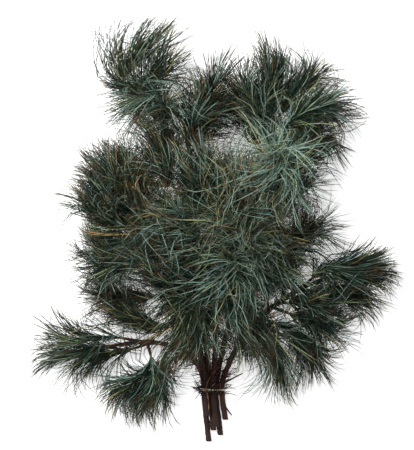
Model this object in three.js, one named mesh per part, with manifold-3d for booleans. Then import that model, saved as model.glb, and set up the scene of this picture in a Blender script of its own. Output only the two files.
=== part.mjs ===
// A bunch of eastern white pine boughs, held by one band round the cut stems and laid down on a flat surface.
// Millimetres, +Z up. The foliage points along +Y, the cut ends along -Y, and the surface is z = 0.
// Six boughs pass through the band. Each has a woody stem with side twigs, and each twig ends in a shoot
// with long needles in a brush round it. The growth is laid out from the middle of the band, and the whole
// bunch is then moved so that the origin is at the bottom centre of its bounding box.
import * as THREE from "three";
import { mergeVertices } from "three/addons/utils/BufferGeometryUtils.js";
import Module from "manifold-3d";

const wasm = await Module();
wasm.setup();

// Needles. A radius is measured from the middle of a section to its corners.
const NEEDLES = 15; // on each shoot
const NEEDLE_LENGTH = [74, 95]; // shortest and longest
const NEEDLE_RADIUS = 0.6;
const NEEDLE_SIDES = 3;
const BEND_FROM = 0.35; // how far along a needle its bend begins
const BEND_TO = 0.45; // and ends
const STRAIGHT_UP_TO = 0.35; // a needle that turns by less than this, in radians, is made straight
const STAND_SPREAD = [0.6, 1.3]; // needles stand off their shoot by this much of its own angle
const TIP_STAND = 0.4; // the share of that angle that is left at the shoot's tip
const LEAN_SPREAD = [0.4, 1];
const PLACE_SPREAD = [-0.03, 0.03]; // along the core
const TURN_SPREAD = 0.5; // radians to either side of the face that a needle grows from
const TURN_MORE = 0.06; // added for each try that finds no room
const TRIES = 60;
const NEEDLE_SEAT = 7; // the length next to the shoot over which a needle may touch its neighbours
const NEEDLE_CLEARANCE = 0.35; // between needles, and between needles and wood
const SURFACE_CLEARANCE = 0.6; // the height of a needle's middle where it lies along the surface

// Shoots.
const NEEDLED_FROM = 0.3; // where the needles begin, as a share of the growth from the stem to a shoot's tip
const CORE_RADIUS = 2.2;
const CORE_SIDES = 4;
const CORE_BEND = 0.5; // where the core bends and where it narrows, as shares of its length
const CORE_TAPER_FROM = 0.9;
const ROOT_DEPTH = 0.3; // how far from the core's middle a needle starts, as a share of the core's radius
const ROOT_PLACES = [0.06, 0.97]; // the lowest and highest on a straight piece of the core
const SHOOT_GAP = 0.35; // between a twig's end and the shoot that goes on from it

// Wood.
const STEM_RADIUS = 4; // at the band
const STEM_TIP_RADIUS = 2.4;
const STEM_TAPER = 1.3; // how late along its length a stem thins, as a power
const STEM_SIDES = 8;
const STEM_RING_STEP = 36; // along the stem
const SLOT_HALF = 12; // half the length over which the stems lie side by side at the band
const TWIG_RADIUS = 2.1;
const TWIG_ROOT_RADIUS = 2.9;
const TWIG_TO_STEM = 0.92; // the most that a twig's root may be of the stem's radius
const TWIG_SIDES = 4;
const STUB_RADIUS = 1.5;
const STUB_TIP_RADIUS = 0.75;

// Band.
const BAND_WIDTH = 2.4;
const BAND_THICKNESS = 1.1;
const BAND_GAP = 0.35; // between the band and the stems
const BAND_STEPS = 40; // round its outline

const SEED = 5; // for the random draws that place the needles

// Numbers that only the calculations need.
const WELD = 1e-4; // corners closer than this are one
const ON_AXIS = 1e-6; // a lathed point closer to the axis than this is on it
const PARALLEL = 1e-9;
const STEEP = 0.9; // the z of a unit heading above which directions across it are taken from +Y

const BARK = { color: 0x4a3226, roughness: 0.85, metalness: 0 };
const NEEDLE_GREEN = { color: 0x3f5c50, roughness: 0.55, metalness: 0 };
const BAND_CREAM = { color: 0xe9e2cf, roughness: 0.6, metalness: 0 };

// A point is [x, y, z] from the middle of the band, over the surface. Each bough has its cut end, its slot
// in the band (x and z), the points that its stem then passes through, and its bare side stubs, each from a
// point in the stem to the stub's end. Each of its shoots is [name, how far along the stem its twig leaves,
// as a share of the way from the band to the stem's tip, a point half way up the growth, its tip, the way
// its needles lean, how far they stand off the shoot in degrees].
const BOUGHS = [
  {
    name: "left_low",
    cutEnd: [-6, -74, 4.4],
    slot: [-12.6, 5.45],
    stem: [[-22, 38, 12], [-49, 60, 20], [-88, 69, 26], [-130, 66, 28]],
    stubs: [[[-12, 4, 5.6], [-28, 2, 9]]],
    shoots: [
      ["tip", 0.95, [-141, 64, 27], [-193, 54, 20], [-0.8, -0.4, -0.2], 18],
      ["upper", 0.79, [-137, 76, 40], [-186, 71, 44], [-1, -0.1, -0.3], 15],
      ["lower", 0.71, [-116, 58, 16], [-160, 48, 12], [-0.8, -0.5, -0.1], 18],
      ["hang_inner", 0.33, [-63, 41, 30], [-77, 9, 26], [-0.1, -1, -0.2], 25],
      ["hang_middle", 0.49, [-70, 44, 16], [-92, 10, 12], [-0.3, -1, -0.1], 25],
      ["hang_outer", 0.75, [-88, 44, 40], [-112, 14, 36], [-0.5, -0.8, -0.3], 25],
    ],
  },
  {
    name: "left",
    cutEnd: [-6, -36, 12.8],
    slot: [-8.4, 12.75],
    stem: [[-24, 74, 24], [-55, 128, 36], [-90, 190, 44], [-116, 244, 50]],
    stubs: [],
    shoots: [
      ["tip", 0.96, [-128, 262, 52], [-143, 288, 52], [-0.3, 0.9, -0.1], 40],
      ["up", 0.93, [-118, 262, 70], [-120, 298, 74], [0, 0.8, -0.3], 40],
      ["up_inner", 0.76, [-102, 249, 62], [-102, 295, 66], [0.1, 1, -0.2], 40],
      ["out_high", 0.88, [-124, 236, 66], [-154, 250, 70], [-0.7, 0.5, -0.2], 45],
      ["out", 0.76, [-112, 202, 40], [-140, 204, 36], [-0.7, -0.3, -0.2], 45],
      ["out_droop", 0.68, [-104, 184, 60], [-134, 180, 60], [-0.6, -0.7, -0.3], 45],
      ["side", 0.54, [-84, 134, 26], [-128, 132, 18], [-1, 0, -0.1], 20],
      ["side_low", 0.39, [-72, 93, 36], [-108, 96, 32], [-1, 0, -0.2], 20],
      ["over", 0.50, [-66, 158, 72], [-77, 184, 90], [-0.2, -0.5, -0.5], 70],
    ],
  },
  {
    name: "top_left",
    cutEnd: [1, -58, 4.4],
    slot: [-4.2, 5.45],
    stem: [[-12, 80, 20], [-29, 172, 40], [-38, 270, 55], [-49, 340, 62], [-88, 393, 66], [-113, 417, 68]],
    stubs: [],
    shoots: [
      ["tip", 0.96, [-124, 430, 72], [-108, 464, 78], [0.8, 0.6, -0.1], 30],
      ["inner", 0.95, [-102, 421, 84], [-81, 440, 88], [0.8, 0.3, -0.3], 45],
      ["curl", 0.90, [-67, 396, 84], [-84, 405, 84], [-0.3, -1.2, -0.3], 45],
      ["under", 0.81, [-74, 384, 50], [-95, 412, 44], [-0.2, 0.9, -0.1], 35],
      ["spire", 0.66, [-29, 370, 80], [-7, 421, 84], [0.5, 0.8, -0.1], 20],
      ["spire_low", 0.71, [-18, 361, 56], [-12, 398, 52], [0.3, 0.9, -0.1], 35],
      ["up", 0.61, [-63, 298, 74], [-74, 340, 78], [-0.2, 1, -0.2], 40],
      ["over", 0.42, [-67, 221, 88], [-99, 232, 98], [-0.2, 0.3, -0.5], 75],
    ],
  },
  {
    name: "top_right",
    cutEnd: [11, -65, 4.4],
    slot: [4.2, 5.45],
    stem: [[21, 88, 18], [45, 186, 34], [69, 280, 50], [82, 352, 58], [86, 384, 60]],
    stubs: [],
    shoots: [
      ["tip", 0.96, [84, 404, 62], [81, 430, 66], [0, 1, -0.1], 35],
      ["outer", 0.94, [103, 408, 52], [128, 430, 48], [0.9, 0.3, -0.2], 26],
      ["inner", 0.90, [64, 382, 80], [50, 404, 84], [-0.8, 0.2, -0.3], 40],
      ["inner_low", 0.83, [54, 366, 44], [38, 392, 38], [-0.3, 0.8, -0.1], 40],
      ["right_high", 0.89, [118, 386, 82], [150, 398, 84], [0.9, 0.3, -0.2], 20],
      ["right", 0.79, [118, 372, 60], [154, 384, 56], [1, 0, -0.2], 22],
      ["right_low", 0.75, [118, 354, 38], [154, 360, 28], [0.9, -0.4, -0.1], 22],
      ["side", 0.68, [92, 303, 62], [116, 314, 60], [1, 0, -0.3], 35],
      ["side_low", 0.59, [82, 266, 34], [104, 276, 28], [0.9, -0.1, -0.1], 40],
      ["crown", 0.70, [83, 300, 98], [88, 337, 118], [-0.5, -0.7, -0.5], 85],
      ["low", 0.20, [35, 122, 38], [30, 142, 54], [-0.3, -1, -0.4], 55],
      ["mid", 0.47, [56, 232, 78], [60, 262, 92], [-0.6, -0.5, -0.5], 75],
    ],
  },
  {
    name: "right",
    cutEnd: [18, -43, 4.6],
    slot: [12.8, 5.45],
    stem: [[34, 60, 14], [73, 109, 24], [120, 143, 32], [156, 158, 38]],
    stubs: [[[13, -18, 5.2], [27, -37, 8]], [[13, 8, 6], [42, 24, 16]], [[16, 28, 9], [33, 53, 15]]],
    shoots: [
      ["tip", 0.96, [166, 162, 38], [190, 166, 34], [1, 0, -0.2], 22],
      ["upper", 0.84, [150, 168, 58], [186, 178, 60], [1, 0.2, -0.2], 22],
      ["lower", 0.80, [154, 141, 22], [186, 130, 16], [0.9, -0.5, -0.1], 24],
      ["fan_high", 0.66, [115, 125, 56], [147, 121, 56], [0.8, -0.5, -0.3], 28],
      ["fan", 0.61, [122, 104, 34], [154, 90, 28], [0.8, -0.6, -0.2], 26],
      ["fan_low", 0.50, [101, 90, 20], [129, 67, 13], [0.6, -0.9, -0.1], 26],
      ["hang", 0.35, [63, 88, 42], [77, 67, 40], [0.1, -1, -0.3], 24],
      ["inward", 0.69, [108, 188, 52], [129, 221, 56], [0.8, 0.3, -0.3], 40],
      ["inward_high", 0.57, [77, 165, 66], [87, 200, 72], [0.3, -0.6, -0.4], 60],
    ],
  },
  {
    name: "middle",
    cutEnd: [5, -52, 12.8],
    slot: [0, 12.75],
    stem: [[4, 74, 30], [1, 144, 56], [-1, 200, 72], [-11, 249, 82]],
    stubs: [],
    shoots: [
      ["tip", 0.96, [-15, 263, 86], [-18, 298, 92], [-0.1, 0.9, -0.4], 60],
      ["crown", 0.61, [18, 160, 84], [25, 186, 102], [0, -0.8, -0.5], 85],
      ["left", 0.56, [-25, 151, 80], [-49, 169, 88], [-0.5, -0.5, -0.5], 65],
      ["right", 0.75, [31, 202, 90], [52, 225, 96], [0.4, 0.1, -0.5], 65],
      ["over", 0.92, [13, 249, 96], [21, 277, 102], [0.1, 0.5, -0.5], 70],
      ["over_left", 0.86, [-25, 214, 98], [-43, 235, 106], [-0.5, 0.3, -0.5], 70],
      ["droop_left", 0.51, [-18, 122, 76], [-32, 104, 78], [-0.1, -1, -0.4], 45],
      ["droop_right", 0.51, [27, 118, 76], [38, 99, 76], [0.2, -1, -0.4], 45],
      ["low_left", 0.33, [-20, 116, 48], [-42, 132, 56], [0.3, -1, -0.4], 50],
    ],
  },
];

const UP = new THREE.Vector3(0, 0, 1);
const ALONG = new THREE.Vector3(0, 1, 0);
const vec = (point) => new THREE.Vector3(...point);
const curveThrough = (points, kind) => new THREE.CatmullRomCurve3(points, false, kind);
const toward = (from, to) => new THREE.Vector3().subVectors(to, from).normalize();

// Random numbers from 0 to 1, the same on every run.
function seeded(seed) {
  let state = seed;
  return () => {
    state = (state + 0x6d2b79f5) | 0;
    let t = Math.imul(state ^ (state >>> 15), 1 | state);
    t = (t + Math.imul(t ^ (t >>> 7), 61 | t)) ^ t;
    return ((t ^ (t >>> 14)) >>> 0) / 4294967296;
  };
}
const random = seeded(SEED);
const between = ([low, high]) => low + (high - low) * random();

// A closed geometry as a solid that can be joined.
function solidOf(geometry) {
  const bare = geometry.index ? geometry.toNonIndexed() : geometry.clone();
  bare.deleteAttribute("normal");
  bare.deleteAttribute("uv");
  const merged = mergeVertices(bare, WELD);
  const index = merged.index.array;
  const kept = [];
  for (let i = 0; i < index.length; i += 3) {
    const [a, b, c] = index.slice(i, i + 3);
    if (a !== b && b !== c && a !== c) kept.push(a, b, c);
  }
  const vertProperties = merged.attributes.position.array;
  return new wasm.Manifold(new wasm.Mesh({ numProp: 3, vertProperties, triVerts: new Uint32Array(kept) }));
}

function geometryOf(solid) {
  const made = solid.getMesh();
  return new THREE.BufferGeometry()
    .setAttribute("position", new THREE.BufferAttribute(made.vertProperties, 3))
    .setIndex(new THREE.BufferAttribute(made.triVerts, 1));
}

// The two directions across a heading, as a function that gives the one at an angle round it.
function acrossOf(heading) {
  const reference = Math.abs(heading.z) < STEEP ? UP : ALONG;
  const side = new THREE.Vector3().crossVectors(heading, reference).normalize();
  const over = new THREE.Vector3().crossVectors(heading, side);
  return (angle) => side.clone().multiplyScalar(Math.cos(angle)).addScaledVector(over, Math.sin(angle));
}

// The point where a line from a point meets the plane through a centre that a normal stands on.
function meet(point, step, centre, normal) {
  const share = new THREE.Vector3().subVectors(centre, point).dot(normal) / step.dot(normal);
  return point.clone().addScaledVector(step, share);
}

// The rings of a tube with flat sides. Each ring is the one before it carried on, along straight lines that
// draw together as the tube narrows, up to the plane that halves the bend at the next point. The first and
// the last ring lie on planes of their own where the ends give a normal for them.
function ringsOf(centres, radii, sides, ends) {
  const last = centres.length - 1;
  const headings = centres.slice(1).map((centre, i) => toward(centres[i], centre));
  const across = acrossOf(headings[0]);
  const normals = centres.map((_, i) => {
    if (i === 0) return ends[0] ?? headings[0];
    if (i === last) return ends[1] ?? headings[last - 1];
    return headings[i - 1].clone().add(headings[i]).normalize();
  });
  const rings = [];
  rings[0] = Array.from({ length: sides }, (_, k) => {
    const corner = centres[0].clone().addScaledVector(across((2 * Math.PI * k) / sides), radii[0]);
    return meet(corner, headings[0], centres[0], normals[0]);
  });
  for (let i = 1; i <= last; i++)
    rings[i] = rings[i - 1].map((point) => {
      const offset = new THREE.Vector3().subVectors(point, centres[i - 1]);
      const step = centres[i].clone().addScaledVector(offset, radii[i] / radii[i - 1]).sub(point);
      return meet(point, step, centres[i], normals[i]);
    });
  return rings;
}

// A solid along a line of points, with a radius for each: a lathed profile of one step a point, bent onto it.
function tube(centres, radii, sides, ends = []) {
  const last = centres.length - 1;
  const rings = ringsOf(centres, radii, sides, ends);
  const profile = [new THREE.Vector2(0, 0), ...radii.map((radius, i) => new THREE.Vector2(radius, i))];
  if (radii[last] > 0) profile.push(new THREE.Vector2(0, last));
  const geometry = new THREE.LatheGeometry(profile, sides);
  const position = geometry.attributes.position;
  for (let i = 0; i < position.count; i++) {
    const ring = Math.round(position.getY(i));
    const [x, z] = [position.getX(i), position.getZ(i)];
    const side = (Math.round((Math.atan2(x, z) / (2 * Math.PI)) * sides) + sides) % sides;
    const place = Math.hypot(x, z) < ON_AXIS ? centres[ring] : rings[ring][side];
    position.setXYZ(i, place.x, place.y, place.z);
  }
  return solidOf(geometry);
}

// Points on a curve at some shares of the stretch between two shares of its length.
function pointsOn(curve, from, to, shares) {
  return shares.map((share) => curve.getPointAt(from + (to - from) * share));
}

// The distance between two straight pieces, each given by its two ends.
function pieceDistance(p, q, r, s) {
  const first = new THREE.Vector3().subVectors(q, p);
  const second = new THREE.Vector3().subVectors(s, r);
  const apart = new THREE.Vector3().subVectors(p, r);
  const [a, b, c] = [first.dot(first), first.dot(second), second.dot(second)];
  const [d, e] = [first.dot(apart), second.dot(apart)];
  const within = (x) => Math.min(1, Math.max(0, x));
  const skew = a * c - b * b;
  const start = skew > PARALLEL ? within((b * e - c * d) / skew) : 0;
  const u = within((b * start + e) / c);
  const t = within((b * u - d) / a);
  return apart.addScaledVector(first, t).addScaledVector(second, -u).length();
}

// What is already there, as round pieces with their owner's name, so that new needles can keep clear of it.
const occupied = [];
function piecesOf(points, radius) {
  return points.slice(1).map((b, i) => {
    const a = points[i];
    return { a, b, radius, middle: a.clone().lerp(b, 0.5), reach: a.distanceTo(b) / 2 + radius };
  });
}
function occupy(owner, points, radius) {
  for (const piece of piecesOf(points, radius)) occupied.push({ owner, ...piece });
}
function isClear(points, radius, ownCore) {
  return piecesOf(points, radius).every((piece) =>
    occupied.every((other) => {
      if (other.owner === ownCore) return true;
      if (other.middle.distanceTo(piece.middle) > other.reach + piece.reach + NEEDLE_CLEARANCE) return true;
      return pieceDistance(piece.a, piece.b, other.a, other.b) > other.radius + radius + NEEDLE_CLEARANCE;
    }),
  );
}

// Wood: the stem, straight from its cut end through the band and on along its curve, with a twig to each
// shoot and its stubs, joined in one solid.
function woodOf(bough) {
  const rings = Math.round(bough.curve.getLength() / STEM_RING_STEP);
  const radiusAt = (share) => STEM_RADIUS - (STEM_RADIUS - STEM_TIP_RADIUS) * share ** STEM_TAPER;
  const [x, z] = bough.slot;
  const grown = bough.curve.getSpacedPoints(rings);
  const centres = [vec(bough.cutEnd), vec([x, -SLOT_HALF, z]), ...grown];
  const stemRadii = [STEM_RADIUS, STEM_RADIUS, ...grown.map((_, i) => radiusAt(i / rings))];
  let wood = tube(centres, stemRadii, STEM_SIDES, [ALONG]);
  occupy(bough.node, centres, STEM_RADIUS);
  for (const shoot of bough.shoots) {
    const twig = pointsOn(shoot.curve, 0, NEEDLED_FROM, [0, 0.5, 1]);
    const thick = Math.min(TWIG_ROOT_RADIUS, radiusAt(shoot.from) * TWIG_TO_STEM);
    const radii = [thick, (thick + TWIG_RADIUS) / 2, TWIG_RADIUS];
    wood = wood.add(tube(twig, radii, TWIG_SIDES, [null, shoot.curve.getTangentAt(NEEDLED_FROM)]));
    occupy(bough.node, twig, thick);
  }
  for (const stub of bough.stubs) {
    wood = wood.add(tube(stub.map(vec), [STUB_RADIUS, STUB_TIP_RADIUS], TWIG_SIDES));
    occupy(bough.node, stub.map(vec), STUB_RADIUS);
  }
  return wood;
}

// A needle's root, bend and tip: it leaves the shoot one way, bends over to another, and stays over the
// surface. One that hardly bends has only a root and a tip.
function needlePoints(root, away, lean, length) {
  const onward = away.clone().add(lean).normalize();
  const knee = root.clone().addScaledVector(away, length * BEND_FROM);
  knee.addScaledVector(onward, length * (BEND_TO - BEND_FROM));
  const tip = knee.clone().addScaledVector(onward, length * (1 - BEND_TO));
  for (const point of [knee, tip]) point.z = Math.max(point.z, SURFACE_CLEARANCE);
  return away.angleTo(onward) < STRAIGHT_UP_TO ? [root, tip] : [root, knee, tip];
}

// One needle of a shoot, at a share of the way up it: it grows from the middle of a face of the core, and
// turns further to the side with each try until it finds room.
function needleOf(shoot, corePoints, share, face) {
  const half = share < CORE_BEND / CORE_TAPER_FROM ? 0 : 1;
  const [first, second] = corePoints.slice(half, half + 2);
  const [from, to] = half === 0 ? [0, CORE_BEND] : [CORE_BEND, CORE_TAPER_FROM];
  const along = toward(first, second);
  const across = acrossOf(along);
  const facing = ((face + 0.5) / CORE_SIDES) * 2 * Math.PI;
  for (let tries = 0; tries < TRIES; tries++) {
    const spot = (share * CORE_TAPER_FROM - from) / (to - from) + between(PLACE_SPREAD);
    const place = THREE.MathUtils.clamp(spot, ...ROOT_PLACES);
    const root = first.clone().lerp(second, place).addScaledVector(across(facing), CORE_RADIUS * ROOT_DEPTH);
    const turn = facing + between([-1, 1]) * (TURN_SPREAD + TURN_MORE * tries);
    const standing = 1 - (1 - TIP_STAND) * share;
    const stand = THREE.MathUtils.degToRad(shoot.stand * standing * between(STAND_SPREAD));
    const away = across(turn).multiplyScalar(Math.sin(stand)).addScaledVector(along, Math.cos(stand));
    const lean = shoot.lean.clone().multiplyScalar(between(LEAN_SPREAD));
    const points = needlePoints(root, away, lean, between(NEEDLE_LENGTH));
    const outer = [root.clone().addScaledVector(away, NEEDLE_SEAT), ...points.slice(1)];
    if (!isClear(outer, NEEDLE_RADIUS, shoot.core)) continue;
    occupy(shoot.node, outer, NEEDLE_RADIUS);
    return tube(points, [...points.slice(1).map(() => NEEDLE_RADIUS), 0], NEEDLE_SIDES);
  }
  return null;
}

// A shoot: a slim square core with a pointed tip, and the needles that stand round it.
function sprayOf(shoot) {
  const from = NEEDLED_FROM + SHOOT_GAP / shoot.curve.getLength();
  const corePoints = pointsOn(shoot.curve, from, 1, [0, CORE_BEND, CORE_TAPER_FROM, 1]);
  const coreRadii = [CORE_RADIUS, CORE_RADIUS, CORE_RADIUS, 0];
  let spray = tube(corePoints, coreRadii, CORE_SIDES, [shoot.curve.getTangentAt(NEEDLED_FROM)]);
  for (let i = 0; i < NEEDLES; i++) {
    const needle = needleOf(shoot, corePoints, (i + 0.5) / NEEDLES, i % CORE_SIDES);
    if (needle) spray = spray.add(needle);
  }
  return spray;
}

// The band: a loop drawn tight round the stems. Each corner of its outline stands off the stem that reaches
// furthest that way.
function bandOf() {
  const slots = BOUGHS.map((bough) => new THREE.Vector2(...bough.slot));
  const outline = (grow) =>
    Array.from({ length: BAND_STEPS }, (_, i) => {
      const angle = ((i + 0.5) / BAND_STEPS) * 2 * Math.PI;
      const out = new THREE.Vector2(Math.cos(angle), Math.sin(angle));
      const furthest = slots.reduce((best, slot) => (slot.dot(out) > best.dot(out) ? slot : best));
      return furthest.clone().addScaledVector(out, STEM_RADIUS + grow);
    });
  const shape = new THREE.Shape(outline(BAND_GAP + BAND_THICKNESS));
  shape.holes.push(new THREE.Path(outline(BAND_GAP)));
  const geometry = new THREE.ExtrudeGeometry(shape, { depth: BAND_WIDTH, bevelEnabled: false });
  geometry.rotateX(Math.PI / 2).translate(0, BAND_WIDTH / 2, 0);
  return solidOf(geometry);
}

// The growth: a curve for each stem past the band, and one for each twig with its shoot.
for (const bough of BOUGHS) {
  const [x, z] = bough.slot;
  bough.node = "stem_" + bough.name;
  bough.curve = curveThrough([[x, SLOT_HALF, z], ...bough.stem].map(vec), "catmullrom");
  bough.shoots = bough.shoots.map(([name, from, middle, tip, lean, stand]) => ({
    node: "spray_" + bough.name + "_" + name,
    core: "core_" + bough.name + "_" + name,
    curve: curveThrough([bough.curve.getPointAt(from), vec(middle), vec(tip)], "centripetal"),
    lean: vec(lean),
    from,
    stand,
  }));
}

const bunch = new THREE.Group();
function place(name, solid, finish) {
  const mesh = new THREE.Mesh(geometryOf(solid), new THREE.MeshStandardMaterial(finish));
  mesh.name = name;
  bunch.add(mesh);
}

const shoots = BOUGHS.flatMap((bough) => bough.shoots);
for (const bough of BOUGHS) place(bough.node, woodOf(bough), BARK);
for (const shoot of shoots) {
  const core = pointsOn(shoot.curve, NEEDLED_FROM, 1, [0, CORE_BEND, 1]);
  occupy(shoot.core, core, CORE_RADIUS);
}
for (const shoot of shoots) place(shoot.node, sprayOf(shoot), NEEDLE_GREEN);
place("band", bandOf(), BAND_CREAM);

const box = new THREE.Box3().setFromObject(bunch);
const centre = box.getCenter(new THREE.Vector3());
bunch.position.set(-centre.x, -centre.y, -box.min.z);

export default bunch;
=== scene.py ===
"""A tied bunch of eastern white pine boughs, lying on a pale floor and seen from straight above.

Every bough, shoot and needle follows the layout of the solids that it stands for, in the same frame. Sizes
in the layout are in millimetres from the middle of the raffia band; meshes are in metres.
"""

import bpy
import numpy as np
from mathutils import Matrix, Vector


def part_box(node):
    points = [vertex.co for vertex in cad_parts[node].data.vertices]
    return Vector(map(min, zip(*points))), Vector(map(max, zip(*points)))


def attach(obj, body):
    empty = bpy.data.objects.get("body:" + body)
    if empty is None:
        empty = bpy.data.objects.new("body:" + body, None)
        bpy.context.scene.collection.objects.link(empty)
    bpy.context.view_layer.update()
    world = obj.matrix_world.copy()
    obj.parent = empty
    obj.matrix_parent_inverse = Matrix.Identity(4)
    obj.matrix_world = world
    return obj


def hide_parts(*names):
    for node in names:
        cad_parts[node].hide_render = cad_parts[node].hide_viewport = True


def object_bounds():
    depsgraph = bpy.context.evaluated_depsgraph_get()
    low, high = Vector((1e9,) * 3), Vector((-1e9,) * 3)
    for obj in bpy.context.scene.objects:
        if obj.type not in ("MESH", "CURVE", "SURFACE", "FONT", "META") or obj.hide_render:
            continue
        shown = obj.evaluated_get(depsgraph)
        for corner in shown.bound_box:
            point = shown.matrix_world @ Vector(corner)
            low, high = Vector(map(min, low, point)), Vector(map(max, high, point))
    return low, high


bl_info = {
    "name": "White Pine Bunch",
    "version": (1, 0, 0),
    "blender": (4, 5, 0),
    "location": "3D View > Sidebar > White Pine",
    "description": "Makes the needles, bark and tie of a bunch of eastern white pine boughs",
    "category": "Object",
}

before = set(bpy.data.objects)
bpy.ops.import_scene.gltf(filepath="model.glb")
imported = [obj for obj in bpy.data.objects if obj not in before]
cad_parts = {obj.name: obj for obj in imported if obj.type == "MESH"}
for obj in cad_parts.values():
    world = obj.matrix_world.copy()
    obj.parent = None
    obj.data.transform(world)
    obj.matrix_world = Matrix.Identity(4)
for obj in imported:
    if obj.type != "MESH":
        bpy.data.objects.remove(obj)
CAD_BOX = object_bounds()
MM = 0.001
SEED = 5

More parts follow.
